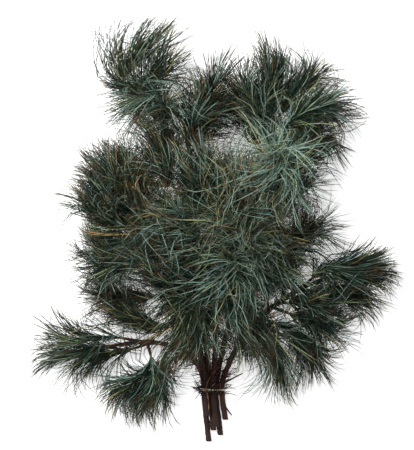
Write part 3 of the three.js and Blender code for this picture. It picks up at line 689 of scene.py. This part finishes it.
def bark_material(colours):
    """Young pine bark: thin red-brown scales with darker gaps between them, dull, and stained in places."""
    material, output = new_material("pine_bark_scaly")
    place = add_node(material, "ShaderNodeTexCoord").outputs["Object"]
    # Scales 3 mm across, broad stains of 30 mm, and grit of 1 mm
    scales = add_node(
        material, "ShaderNodeTexVoronoi", {"feature": "DISTANCE_TO_EDGE"}, {"Vector": place, "Scale": 330.0}
    )
    stains = add_node(material, "ShaderNodeTexNoise", None, {"Vector": place, "Scale": 34.0, "Detail": 6.0})
    grit = add_node(material, "ShaderNodeTexNoise", None, {"Vector": place, "Scale": 900.0, "Detail": 4.0})
    colour = add_node(
        material,
        "ShaderNodeValToRGB",
        {"stops": [(0.3, colours["bark_dark"]), (0.55, colours["bark"]), (0.75, colours["bark_light"])]},
        {"Fac": stains.outputs["Fac"]},
    )
    between = {"Value": scales.outputs["Distance"], "From Max": 0.12, "To Min": 0.45}
    gaps = add_node(material, "ShaderNodeMapRange", None, between)
    # Some stems are nearly black with damp, others warm red-brown
    tint = add_node(material, "ShaderNodeAttribute", {"attribute_name": "tint"}).outputs["Fac"]
    casts = [(0.0, colours["damp_cast"]), (1.0, colours["warm_cast"])]
    cast = add_node(material, "ShaderNodeValToRGB", {"stops": casts}, {"Fac": tint})
    tinted = add_node(
        material, "ShaderNodeMix", MULTIPLIED, {0: 1.0, 6: colour.outputs["Color"], 7: cast.outputs["Color"]}
    )
    shaded = add_node(
        material, "ShaderNodeMix", MULTIPLIED, {0: 1.0, 6: tinted.outputs[2], 7: gaps.outputs["Result"]}
    )
    # The gaps between scales are low, and the grit stands on the scales, half as high
    height = add_node(
        material,
        "ShaderNodeMath",
        {"operation": "MULTIPLY_ADD"},
        {0: grit.outputs["Fac"], 1: 0.5, 2: gaps.outputs["Result"]},
    )
    bump = add_node(
        material, "ShaderNodeBump", None, {"Height": height.outputs[0], "Strength": 0.8, "Distance": 0.0006}
    )
    return finish_material(
        material, output, Base_Color=shaded.outputs[2], Roughness=0.8, Normal=bump.outputs["Normal"]
    )


def cut_wood_material(colours):
    """Pine sapwood, cut across: pale and dry, with a growth ring every 1.3 mm round the pith."""
    material, output = new_material("pine_sapwood_cut")
    place = add_node(material, "ShaderNodeTexCoord").outputs["Object"]
    rings = add_node(
        material,
        "ShaderNodeTexWave",
        {"wave_type": "RINGS", "rings_direction": "Y"},
        {"Vector": place, "Scale": 240.0, "Distortion": 1.5, "Detail": 2.0},
    )
    colour = add_node(
        material,
        "ShaderNodeValToRGB",
        {"stops": [(0.2, colours["sapwood_ring"]), (0.6, colours["sapwood"])]},
        {"Fac": rings.outputs["Fac"]},
    )
    return finish_material(material, output, Base_Color=colour.outputs["Color"], Roughness=0.85)


def raffia_material(name, pale, dark):
    """Raffia: a dried strip of palm leaf, satin, with fine fibres along it that catch the light."""
    material, output = new_material(name)
    along = add_node(material, "ShaderNodeAttribute", {"attribute_name": "along"}).outputs["Fac"]
    across = add_node(material, "ShaderNodeAttribute", {"attribute_name": "inner"}).outputs["Fac"]
    # Fibres that run along the strip, six across its width
    spot = add_node(material, "ShaderNodeCombineXYZ", None, {"X": across, "Y": along})
    drawn = add_node(
        material, "ShaderNodeVectorMath", {"operation": "MULTIPLY"}, {0: spot.outputs[0], 1: (6, 2.5, 1)}
    )
    fibres = add_node(
        material, "ShaderNodeTexNoise", None, {"Vector": drawn.outputs[0], "Scale": 2.0, "Detail": 3.0}
    )
    colour = add_node(
        material, "ShaderNodeValToRGB", {"stops": [(0.35, dark), (0.6, pale)]}, {"Fac": fibres.outputs["Fac"]}
    )
    raised = {"Height": fibres.outputs["Fac"], "Strength": 0.4, "Distance": 0.0003}
    bump = add_node(material, "ShaderNodeBump", None, raised)
    return finish_material(
        material, output, Base_Color=colour.outputs["Color"], Roughness=0.55, Normal=bump.outputs["Normal"]
    )


def floor_material(colour):
    """A matt white floor, with the faintest mottling in patches of 80 mm. It glows a little though it is
    no lamp: painted light that keeps the bunch's shadows on it and the gaps between needles pale."""
    material, output = new_material("light_table_white")
    place = add_node(material, "ShaderNodeTexCoord").outputs["Object"]
    mottle = add_node(material, "ShaderNodeTexNoise", None, {"Vector": place, "Scale": 12.0, "Detail": 3.0})
    tint = add_node(
        material,
        "ShaderNodeValToRGB",
        {"stops": [(0.3, tuple(MOTTLED * c for c in colour)), (0.7, colour)]},
        {"Fac": mottle.outputs["Fac"]},
    )
    return finish_material(
        material,
        output,
        Base_Color=tint.outputs["Color"],
        Roughness=0.95,
        Specular_IOR_Level=0.1,
        # Painted light: the floor glows though it is no lamp
        Emission_Color=(1.0, 1.0, 1.0, 1.0),
        Emission_Strength=0.6,
    )


def colours_of(settings):
    """The colours that a settings group holds, by their plain names."""
    return {
        key.removesuffix("_colour"): tuple(getattr(settings, key))
        for key in settings.__annotations__
        if key.endswith("_colour")
    }


# The growth


def shoots_of(name):
    """A bough's shoots, each as its node's name, its growth line in the frame, its needles' lean, their
    stand in degrees, and its place along the stem."""
    bough = BOUGHS[name]
    stem = stem_curve(bough)
    for shoot, (leaves, middle, tip, lean, stand) in bough["shoots"].items():
        start = at_shares(stem, [leaves])[0]
        line = path_through([start, middle, tip], CENTRIPETAL)
        yield f"{name}_{shoot}", from_band(line), np.array(lean, float), float(stand), leaves


def stem_curve(bough):
    """A stem's middle line past the band, in the layout's millimetres."""
    x, z = bough["slot"]
    return path_through([(x, SLOT_HALF, z), *bough["stem"]], UNIFORM)


def whole_stem(bough):
    """A stem's middle line from its cut end, in even steps, with the corner before the band eased."""
    x, z = bough["slot"]
    line = np.vstack([[bough["cut_end"], (x, -SLOT_HALF, z)], stem_curve(bough)])
    count = int(length_of(line) / STEM_STEP)
    return softened(at_shares(line, np.linspace(0, 1, count + 1)), EASED_RINGS)


def stem_parts(name, settings, seed):
    """A stem with a swelling round each twig and rough bark, its twigs, its bare stubs and its dead
    twiglets. The stem's radius falls from the band's to the tip's with a power of the share that is past
    the band, and a bell curve round each twig is added. All share one draw of how warm the bark is."""
    bough = BOUGHS[name]
    line = whole_stem(bough)
    grown = stem_curve(bough)
    total, past = length_of(line), length_of(grown)
    way = np.linspace(0, total, len(line))
    share = np.clip((way - (total - past)) / past, 0, 1)
    radii = STEM_RADII[0] - (STEM_RADII[0] - STEM_RADII[1]) * share**STEM_TAPER
    for leaves, *_ in bough["shoots"].values():
        radii = radii + settings.collar / MM * np.exp(-(((share - leaves) * past / COLLAR_REACH) ** 2))
    radii = radii * np.minimum(1, (total - way) / TIP_TAPER + TIP_SHARE)

    def rough(points):
        """The bark's relief: lumps the size of plates, and of scales that are drawn out along Y."""
        plates = lumps(points, BARK_PLATES[0], seed) * BARK_PLATES[1]
        scales = lumps(points * np.array(SCALE_STRETCH), BARK_SCALES[0], seed + 1) * BARK_SCALES[1]
        return plates + scales

    sides = settings.stem_sides
    stem = tube(from_band(line), radii * MM, sides, rough, cut=True)
    stem["triangle_slots"][:sides] = 1
    parts = [stem]
    for _, growth, _, _, leaves in shoots_of(name):
        twig = at_shares(growth, np.linspace(0, NEEDLED_FROM + TWIG_LAP, TWIG_RINGS))
        thick = min(TWIG_RADII[0], np.interp(leaves, share, radii) * TWIG_IN_STEM)
        parts.append(tube(twig, np.linspace(thick, TWIG_RADII[1], TWIG_RINGS) * MM, THIN_SIDES, rough))
    for ends in bough["stubs"]:
        stub = at_shares(from_band(np.array(ends, float)), np.linspace(0, 1, STUB_RINGS))
        stub[:, 2] += np.sin(np.linspace(0, np.pi, STUB_RINGS)) * STUB_ARCH * MM
        parts.append(tube(stub, np.linspace(*STUB_RADII, STUB_RINGS) * MM, THIN_SIDES, rough))
    parts.append(prickles(line, way - (total - past), settings, seed))
    warmth = np.random.default_rng([SEED, seed, 1]).uniform(0, 1)
    for part in parts:
        part["tint"] = warmth
    return parts


def prickles(line, past_band, settings, seed):
    """Dead twiglets on a stem. Each starts at the stem's middle line, leaves it on any side, and bends a
    little."""
    rng = np.random.default_rng([SEED, seed])
    count = settings.prickles
    past = PRICKLED_FROM + (past_band[-1] - PRICKLED_FROM) * rng.uniform(0, 1, count) ** PRICKLED_LOW
    past = np.where(np.abs(past) < BARE_BEND, BARE_BEND + np.abs(past), past)
    shares = np.interp(past, past_band, np.linspace(0, 1, len(past_band)))
    root = from_band(at_shares(line, shares))
    headings = unit(from_band(at_shares(line, np.minimum(shares + NEARBY, 1))) - root)
    side, over = directions_across(headings)
    around = rng.uniform(0, 2 * np.pi, count)[:, None]
    angle = np.radians(rng.uniform(*PRICKLE_ANGLES, count))[:, None]
    away = (side * np.cos(around) + over * np.sin(around)) * np.sin(angle) + headings * np.cos(angle)
    onward = unit(away + rng.normal(0, PRICKLE_BEND, (count, 3)))
    length = rng.uniform(*PRICKLE_LENGTHS, count) * settings.prickle_length
    curl = rng.normal(0, PRICKLE_BEND, (count, 3))
    lines = needle_lines(root, away, onward, length, curl, 0.0, PRICKLE_STEPS)
    twist = rng.uniform(0, 2 * np.pi, count)
    return needle_part(lines, settings.prickle_thickness / 2, twist, np.zeros(count))


def top_of_stems(plan):
    """How high the stems come under each point of a plan view, or 0 off the stems, in the layout's
    millimetres. Near the band a stem is as thick as at the band, and its top is a half circle."""
    heights = [np.zeros(len(plan))]
    for bough in BOUGHS.values():
        line = whole_stem(bough)
        middle, level = (np.interp(plan[:, 1], line[:, 1], line[:, k]) for k in (0, 2))
        off = np.abs(plan[:, 0] - middle)
        crest = level + np.sqrt(np.maximum(STEM_RADII[0] ** 2 - off**2, 0))
        heights.append(np.where((off < STEM_RADII[0]) & (plan[:, 1] > line[0, 1]), crest, 0))
    return np.max(heights, axis=0)


def tie_parts(settings):
    """The raffia: turns of a strip drawn tight round the stems, a knot, and the loose ends over the stems.
    A turn's outline is the stem that reaches furthest each way, plus the stem's radius. The knot's strand
    goes once to and fro along x, twice along y and three times up and down. A loose end is narrow at both
    its ends and turns to and fro."""
    angle = np.linspace(0, 2 * np.pi, OUTLINE_POINTS)
    out = np.stack([np.cos(angle), np.sin(angle)], axis=-1)
    slots = np.array([bough["slot"] for bough in BOUGHS.values()])
    furthest = slots[np.argmax(out @ slots.T, axis=1)]
    parts = []
    for k in range(settings.turns):
        off = STEM_RADII[0] + BAND_GAP + (TURN_LIFTS[0] + TURN_LIFTS[1] * k) * settings.thickness / MM
        x, z = (furthest + out * off).T
        loop = at_shares(np.stack([x, 0 * x, z], axis=-1), np.linspace(0, 1, TURN_POINTS, endpoint=False))
        way = np.linspace(0, 2 * np.pi, TURN_POINTS, endpoint=False)
        loop[:, 1] = (k - (settings.turns - 1) / 2) * TURN_APART + TURN_WAVE * np.sin(way + TURN_SHIFT * k)
        loop[:, 2] = np.maximum(loop[:, 2], BAND_GAP + settings.thickness / MM / 2)
        parts.append(turn_of_band(from_band(loop), settings.width, settings.thickness))
    t = np.linspace(0, 2 * np.pi, KNOT_POINTS)
    knot = np.stack([np.sin(t), np.sin(2 * t), np.cos(3 * t)], axis=-1) * KNOT_HALVES
    middle = np.array([*KNOT, top_of_stems(np.array([KNOT]))[0] + KNOT_LIFT])
    strand = np.full(KNOT_POINTS, settings.width * KNOT_STRAND)
    knots = [tube(from_band(knot + middle), strand, STRIP_SIDES, flat=KNOT_FLAT)]
    share = np.linspace(0, 1, END_POINTS)
    for points, wide in LOOSE_ENDS:
        line = at_shares(path_through(points, CENTRIPETAL), share)
        height = top_of_stems(line[:, :2]) + np.linspace(*END_LIFTS, END_POINTS)
        line[:, 2] = softened(np.stack([height] * 3, axis=-1), END_EASED)[:, 2] + line[:, 2]
        half = settings.width * wide / 2 * np.interp(share, *END_WIDTHS)
        twist = END_TWIST[0] * np.sin(share * END_TWIST[1] + wide)
        knots.append(tube(from_band(line), half, STRIP_SIDES, flat=END_FLAT, twist=twist))
    for part in knots:
        part["quad_slots"][:] = 1
        part["triangle_slots"][:] = 1
    return parts + knots


def drift(points):
    """Which way needles drift where they lie: three fields of smooth lumps, one for each axis. Neighbours
    get nearly the same drift, so they bend together."""
    return np.stack([lumps(points, size, SEED + k) for k, size in enumerate(DRIFT_SIZES)], axis=-1)


def needle_lines(root, away, onward, length, curl, sway, steps):
    """The middle lines of many needles. Each leaves the shoot one way and turns smoothly to another over
    the middle of its length. On the way it is turned aside by its own curl and by the drift where it is,
    both more the further it is along. It lies on the floor where it would pass through it, and is short
    enough to stay in the box of the solids."""
    point, points = root, [root]
    for k in range(steps):
        way = (k + 0.5) / steps
        turned = min(max((way - TURNS_FROM) / TURNS_OVER, 0), 1)
        turned = turned**2 * (3 - 2 * turned)
        aside = (curl + sway * drift(point)) * 2 * way
        point = point + unit(away * (1 - turned) + onward * turned + aside) * (length / steps)[:, None]
        points.append(point)
    walk = np.stack(points, axis=1) - root[:, None]
    low, high = (np.array(corner) for corner in CAD_BOX)
    room = np.where(walk > 0, high - root[:, None], root[:, None] - low)
    room[..., 2] = np.where(walk[..., 2] > 0, room[..., 2], np.inf)
    fits = np.min(room / np.maximum(np.abs(walk), 1e-9), axis=(1, 2))
    lines = root[:, None] + walk * np.minimum(1, fits)[:, None, None]
    lines[..., 2] = np.maximum(lines[..., 2], LIES_AT)
    return lines


def spray_parts(key, growth, lean, stand, settings, seed):
    """A slim shoot with its bud, and bundles of needles set round it in a spiral, each a golden angle from
    the last. A bundle leaves the shoot at the spray's angle, less towards the tip, and turns the way that
    the spray leans. Its needles start together and part as they grow. The bundles of a spray share a slight
    curl, each adds its own, and a few wild ones stray further. Sprays with a habit lean, part and fill out
    by that."""
    rng = np.random.default_rng([SEED, seed])
    core = at_shares(growth, np.linspace(NEEDLED_FROM, 1, SHOOT_RINGS))
    radii = np.interp(np.linspace(0, 1, SHOOT_RINGS), [0, *BUD_SHARES], [*SHOOT_RADII, *BUD_RADII])
    lump, deep = SHOOT_RELIEF
    shoot = tube(core, radii * MM, THIN_SIDES, lambda points: lumps(points, lump, seed) * deep)
    shoot["quad_slots"][:] = 1
    shoot["triangle_slots"][:] = 1

    steps = settings.steps
    each = settings.needles_in_bundle
    # How near the tip is to the fullest place, from 0 to 1, as a bell curve of the distance in plan
    near = np.exp(-np.sum(((growth[-1] - from_band(FULLEST_AT)) / FULL_REACH)[:2] ** 2))
    lean, longer, parted, many = HABITS.get(key, (lean, 1, 1, 1))
    bundles = round(settings.bundles * (1 + settings.fuller * near) * many)
    count = bundles * each
    place = (np.arange(bundles) + rng.uniform(0, 1, bundles)) / bundles
    around = np.arange(bundles) * GOLDEN_ANGLE + rng.normal(0, AROUND_SPREAD, bundles)
    tone = TONES.get(key, USUAL_TONE) + rng.normal(0, TONE_SPREAD, bundles)
    tint = rng.uniform(0, 1, bundles) ** np.interp(near, [0, 1], WARM_EDGE)
    shorter = rng.uniform(0, 1, bundles) ** FEW_SHORT
    lengths = settings.longest - (settings.longest - settings.shortest) * shorter
    leaning = rng.uniform(*LEANINGS, bundles)
    spread = rng.uniform(*SPREADS, bundles)
    loose = stand / USUAL_STAND
    wild = rng.uniform(0, 1, bundles) < settings.wild
    stray = rng.normal(0, settings.tangle * loose, (bundles, 3)) * np.where(wild, WILDER, 1)[:, None]
    swirl = rng.normal(0, settings.swirl * loose, 3)
    bend = swirl + rng.normal(0, settings.curl, (bundles, 3)) * max(loose, LEAST_LOOSE)
    place, around, tone, tint, lengths, leaning, spread, stray, bend = (
        np.repeat(x, each, axis=0) for x in (place, around, tone, tint, lengths, leaning, spread, stray, bend)
    )
    bend = bend / parted
    parting = np.repeat(rng.uniform(*PARTINGS, bundles) * settings.parting * parted, each)
    around = around + rng.normal(0, FAN_ROUND, count) * parting
    spread = spread * (1 + rng.normal(0, 1, count) * parting)
    lengths = lengths * rng.uniform(*NEEDLE_SHARES, count) * longer
    tone = tone + (rng.exponential(settings.glint, count) - settings.glint) * (DARK_GLINT + tone)
    tone = tone + rng.normal(0, settings.uneven, count)

    up_core = place * NEEDLED_TO
    root = at_shares(core, up_core)
    behind, ahead = np.maximum(up_core - NEARBY, 0), np.minimum(up_core + NEARBY, 1)
    headings = unit(at_shares(core, ahead) - at_shares(core, behind))
    side, over = directions_across(headings)
    out = side * np.cos(around)[:, None] + over * np.sin(around)[:, None]
    angle = np.radians(stand * (1 - CLOSING * place) * spread)[:, None]
    away = out * np.sin(angle) + headings * np.cos(angle)
    apart = rng.normal(0, 1, (count, 3)) * parting[:, None]
    onward = unit(away + np.array(lean) * leaning[:, None] + stray + apart)
    curl = bend + rng.normal(0, 1, (count, 3)) * parting[:, None]
    curl[:, 2] -= settings.sag
    lines = needle_lines(root, away, onward, lengths, curl, settings.sway, steps)
    twist = rng.uniform(0, 2 * np.pi, count)
    # Painted shade and light: a needle is drawn darker the lower its middle lies in the bunch, and paler near
    # its top
    tone = tone + settings.depth * (lines[:, steps // 2, 2] / CAD_BOX[1][2] - FULL_LIGHT_AT)
    needles = needle_part(lines, settings.thickness / 2, twist, np.clip(tone, 0, 1))
    needles["tint"] = np.repeat(tint, 3 * steps + 1)
    return [shoot, needles]


# Settings


def cast_setting(name, description, linear_colour):
    """A colour, or what the red, green and blue of some pieces are multiplied by, that a user can change."""
    return bpy.props.FloatVectorProperty(
        name=name, description=description, subtype="COLOR", default=linear_colour
    )


def colour_setting(name, description, shade):
    """A colour that a user can change, with its default written #rrggbb."""
    return cast_setting(name, description, linear(shade))


class NeedleSettings(bpy.types.PropertyGroup):
    """Sizes and colours of the needles."""

    shortest: bpy.props.FloatProperty(
        name="Shortest", description="Length of the shortest needles",
        default=0.052, min=0.02, unit="LENGTH",
    )
    longest: bpy.props.FloatProperty(
        name="Longest", description="Length of the longest needles", default=0.105, min=0.02, unit="LENGTH"
    )
    thickness: bpy.props.FloatProperty(
        name="Thickness", description="Across a needle, corner to corner",
        default=0.0009, min=0.0002, unit="LENGTH",
    )
    bundles: bpy.props.IntProperty(
        name="Bundles", description="Bundles of needles on the outer shoots", default=46, min=10
    )
    fuller: bpy.props.FloatProperty(
        name="Fuller", description="How much more the shoots in the middle have, as a share",
        default=3.1, min=0,
    )
    needles_in_bundle: bpy.props.IntProperty(
        name="Needles in a bundle", description="Five in this species", default=5, min=1
    )
    steps: bpy.props.IntProperty(
        name="Steps", description="Straight pieces in a needle",
        default=5, min=2,
    )
    tangle: bpy.props.FloatProperty(
        name="Tangle", description="How much bundles point away from each other",
        default=0.12, min=0, subtype="FACTOR",
    )
    curl: bpy.props.FloatProperty(
        name="Curl", description="How much bundles curl, each its own way", default=0.52, min=0
    )
    swirl: bpy.props.FloatProperty(
        name="Swirl", description="How much all the needles of a spray curl one way", default=0.14, min=0
    )
    wild: bpy.props.FloatProperty(
        name="Wild", description="Share of the bundles that stand out from the rest",
        default=0.14, min=0, max=1,
    )
    parting: bpy.props.FloatProperty(
        name="Parting", description="How much the needles of a bundle part", default=0.11, min=0
    )
    sway: bpy.props.FloatProperty(
        name="Sway", description="How strongly neighbouring needles bend together", default=0.45, min=0
    )
    glint: bpy.props.FloatProperty(
        name="Glint", description="How much a few needles are paler than the rest", default=0.4, min=0
    )
    uneven: bpy.props.FloatProperty(
        name="Uneven", description="How much the needles of a bundle differ in paleness", default=0.2, min=0
    )
    # Painted shade: how much darker the needles low in the bunch are drawn
    depth: bpy.props.FloatProperty(
        name="Depth", description="How much darker the needles deep in the bunch are", default=0.4, min=0
    )
    sag: bpy.props.FloatProperty(
        name="Sag", description="Droop at the tip, as a share of the length", default=0.03, min=0
    )
    deep_colour: colour_setting("Deep green", "Darkest needles", "#060b08")
    fresh_colour: colour_setting("Green", "Usual needles", "#314a3d")
    pale_colour: colour_setting("Pale green", "Palest needles", "#a6beac")
    blue_cast_colour: cast_setting("Blue cast", "What blue bundles are multiplied by", (0.84, 1.0, 1.08))
    olive_cast_colour: cast_setting("Olive cast", "What yellow bundles are multiplied by", (1.2, 1.04, 0.65))
    dry_cast_colour: cast_setting("Dry cast", "What dry bundles are multiplied by", (2.1, 1.0, 0.5))
    base_colour: colour_setting("Base", "Where a needle leaves the shoot", "#6f6c35")
    tip_colour: colour_setting("Tip", "Dry tips", "#7a4f2c")
    shoot_colour: colour_setting("Shoot", "Bark of the young shoots", "#7a6c38")
    bud_colour: colour_setting("Bud", "Buds at the shoots' tips", "#8f5a2e")


class WoodSettings(bpy.types.PropertyGroup):
    """Sizes and colours of the stems."""

    stem_sides: bpy.props.IntProperty(name="Sides", description="Faces round a stem", default=16, min=6)
    collar: bpy.props.FloatProperty(
        name="Collar", description="Swelling of a stem where a twig leaves it",
        default=0.0007, unit="LENGTH",
    )
    prickles: bpy.props.IntProperty(
        name="Prickles", description="Dead twiglets on a stem", default=240, min=1
    )
    prickle_length: bpy.props.FloatProperty(
        name="Prickle length", description="Length of the longest of them",
        default=0.03, min=0.002, unit="LENGTH",
    )
    prickle_thickness: bpy.props.FloatProperty(
        name="Prickle thickness", description="Across one of them", default=0.001, min=0.0002, unit="LENGTH"
    )
    bark_colour: colour_setting("Bark", "Bark of the stems", "#3f2418")
    bark_dark_colour: colour_setting("Dark bark", "Stained bark", "#170e0a")
    bark_light_colour: colour_setting("Light bark", "Worn bark", "#75452c")
    damp_cast_colour: cast_setting("Damp cast", "What dark stems are multiplied by", (0.45, 0.42, 0.4))
    warm_cast_colour: cast_setting("Warm cast", "What warm stems are multiplied by", (1.9, 1.3, 1.0))
    sapwood_colour: colour_setting("Cut wood", "Wood at the cut ends", "#cbb086")
    sapwood_ring_colour: colour_setting("Growth rings", "Rings in the cut wood", "#96703f")


class TieSettings(bpy.types.PropertyGroup):
    """Sizes and colours of the raffia."""

    turns: bpy.props.IntProperty(
        name="Turns", description="Turns of the strip round the stems",
        default=3, min=1,
    )
    width: bpy.props.FloatProperty(
        name="Width", description="Width of the strip", default=0.0016, min=0.0005, unit="LENGTH"
    )
    thickness: bpy.props.FloatProperty(
        name="Thickness", description="Thickness of the strip", default=0.0005, min=0.0001, unit="LENGTH"
    )
    cream_colour: colour_setting("Cream", "The band", "#efe8d6")
    cream_dark_colour: colour_setting("Cream between fibres", "The band's fibres", "#cdbfa0")
    tan_colour: colour_setting("Tan", "The knot and loose ends", "#b98a5c")
    tan_dark_colour: colour_setting("Tan between fibres", "The loose ends' fibres", "#7c4f2c")


class StageSettings(bpy.types.PropertyGroup):
    """Floor, light and camera."""

    floor_colour: colour_setting("Floor", "Matt floor", "#f6f6f5")
    sky: bpy.props.FloatProperty(
        name="Soft light", description="Light from all round", default=0.55, min=0
    )
    lamp: bpy.props.FloatProperty(
        name="Lamp", description="Power of the large soft lamp", default=62.0, min=0, unit="POWER"
    )
    camera_height: bpy.props.FloatProperty(
        name="Camera height", description="Over the middle of the bunch",
        default=2.4, min=0.5, unit="LENGTH",
    )


# Operators


class WHITEPINE_OT_stems(bpy.types.Operator):
    """Make the stems with their twigs, stubs and cut ends"""

    bl_idname = "whitepine.stems"
    bl_label = "Make Stems"

    def execute(self, context):
        settings = context.scene.white_pine_wood
        colours = colours_of(settings)
        materials = [bark_material(colours), cut_wood_material(colours)]
        for seed, name in enumerate(BOUGHS):
            parts = stem_parts(name, settings, 100 + seed)
            make_piece(f"bark_{name}", parts, materials, [f"stem_{name}"])
        return {"FINISHED"}


class WHITEPINE_OT_sprays(bpy.types.Operator):
    """Make the sprays of needles, each on its shoot"""

    bl_idname = "whitepine.sprays"
    bl_label = "Make Sprays"

    def execute(self, context):
        settings = context.scene.white_pine_needles
        colours = colours_of(settings)
        materials = [needle_material(colours), shoot_material(colours)]
        sprays = [shoot for name in BOUGHS for shoot in shoots_of(name)]
        for seed, (key, growth, lean, stand, _) in enumerate(sprays):
            parts = spray_parts(key, growth, lean, stand, settings, seed)
            make_piece(f"needles_{key}", parts, materials, [f"spray_{key}"])
        return {"FINISHED"}


class WHITEPINE_OT_tie(bpy.types.Operator):
    """Make the raffia band with its knot and loose ends"""

    bl_idname = "whitepine.tie"
    bl_label = "Make Tie"

    def execute(self, context):
        settings = context.scene.white_pine_tie
        colours = colours_of(settings)
        cream = raffia_material("raffia_cream", colours["cream"], colours["cream_dark"])
        tan = raffia_material("raffia_tan", colours["tan"], colours["tan_dark"])
        make_piece("raffia_tie", tie_parts(settings), [cream, tan], ["band"])
        return {"FINISHED"}


class WHITEPINE_OT_stage(bpy.types.Operator):
    """Make the floor, the light and the camera"""

    bl_idname = "whitepine.stage"
    bl_label = "Make Stage"

    def execute(self, context):
        settings = context.scene.white_pine_stage
        scene = context.scene
        half = FLOOR_HALF
        mesh = bpy.data.meshes.new("floor")
        corners = [(-half, -half, 0), (half, -half, 0), (half, half, 0), (-half, half, 0)]
        mesh.from_pydata(corners, [], [(0, 1, 2, 3)])
        mesh.materials.append(floor_material(tuple(settings.floor_colour)))
        floor = bpy.data.objects.new("floor", mesh)
        scene.collection.objects.link(floor)

        world = bpy.data.worlds.new("soft_sky")
        world.use_nodes = True
        background = world.node_tree.nodes["Background"]
        background.inputs["Color"].default_value = (*linear("#fbfcff"), 1)
        background.inputs["Strength"].default_value = settings.sky
        scene.world = world

        lamp = bpy.data.lights.new("soft_lamp", "AREA")
        lamp.shape = "DISK"
        lamp.size = LAMP_SIZE
        lamp.energy = settings.lamp
        light = bpy.data.objects.new("soft_lamp", lamp)
        light.location = LAMP_AT
        light.rotation_euler = light.location.to_track_quat("Z", "Y").to_euler()
        scene.collection.objects.link(light)

        # The camera looks straight down on the middle of the photograph's frame
        wide, high = PHOTO_SIZE
        across, down = BAND_PIXEL
        camera = bpy.data.cameras.new("camera_above")
        camera.sensor_fit = "VERTICAL"
        camera.sensor_height = 36.0
        camera.lens = camera.sensor_height * settings.camera_height / (high * PIXEL * MM)
        eye = bpy.data.objects.new("camera_above", camera)
        centre = from_band([((wide / 2 - across) * PIXEL, (down - high / 2) * PIXEL, 0)])[0]
        eye.location = (centre[0], centre[1], settings.camera_height + MIDDLE_LEVEL)
        scene.collection.objects.link(eye)
        scene.camera = eye
        scene.view_settings.view_transform = "Standard"
        return {"FINISHED"}


class WHITEPINE_PT_panel(bpy.types.Panel):
    """The settings and the steps that use them"""

    bl_idname = "WHITEPINE_PT_panel"
    bl_label = "White Pine Bunch"
    bl_space_type = "VIEW_3D"
    bl_region_type = "UI"
    bl_category = "White Pine"

    def draw(self, context):
        for group, operator in STEPS:
            box = self.layout.box()
            settings = getattr(context.scene, group)
            for key in settings.__annotations__:
                box.prop(settings, key)
            box.operator(operator)


STEPS = [
    ("white_pine_wood", "whitepine.stems"),
    ("white_pine_needles", "whitepine.sprays"),
    ("white_pine_tie", "whitepine.tie"),
    ("white_pine_stage", "whitepine.stage"),
]
GROUPS = {
    "white_pine_wood": WoodSettings,
    "white_pine_needles": NeedleSettings,
    "white_pine_tie": TieSettings,
    "white_pine_stage": StageSettings,
}
CLASSES = [
    *GROUPS.values(),
    WHITEPINE_OT_stems,
    WHITEPINE_OT_sprays,
    WHITEPINE_OT_tie,
    WHITEPINE_OT_stage,
    WHITEPINE_PT_panel,
]


def register():
    for each in CLASSES:
        bpy.utils.register_class(each)
    for name, group in GROUPS.items():
        setattr(bpy.types.Scene, name, bpy.props.PointerProperty(type=group))


def unregister():
    for name in GROUPS:
        delattr(bpy.types.Scene, name)
    for each in reversed(CLASSES):
        bpy.utils.unregister_class(each)


def main():
    register()
    bpy.ops.whitepine.stems()
    bpy.ops.whitepine.sprays()
    bpy.ops.whitepine.tie()
    bpy.ops.whitepine.stage()


if __name__ == "__main__":
    main()
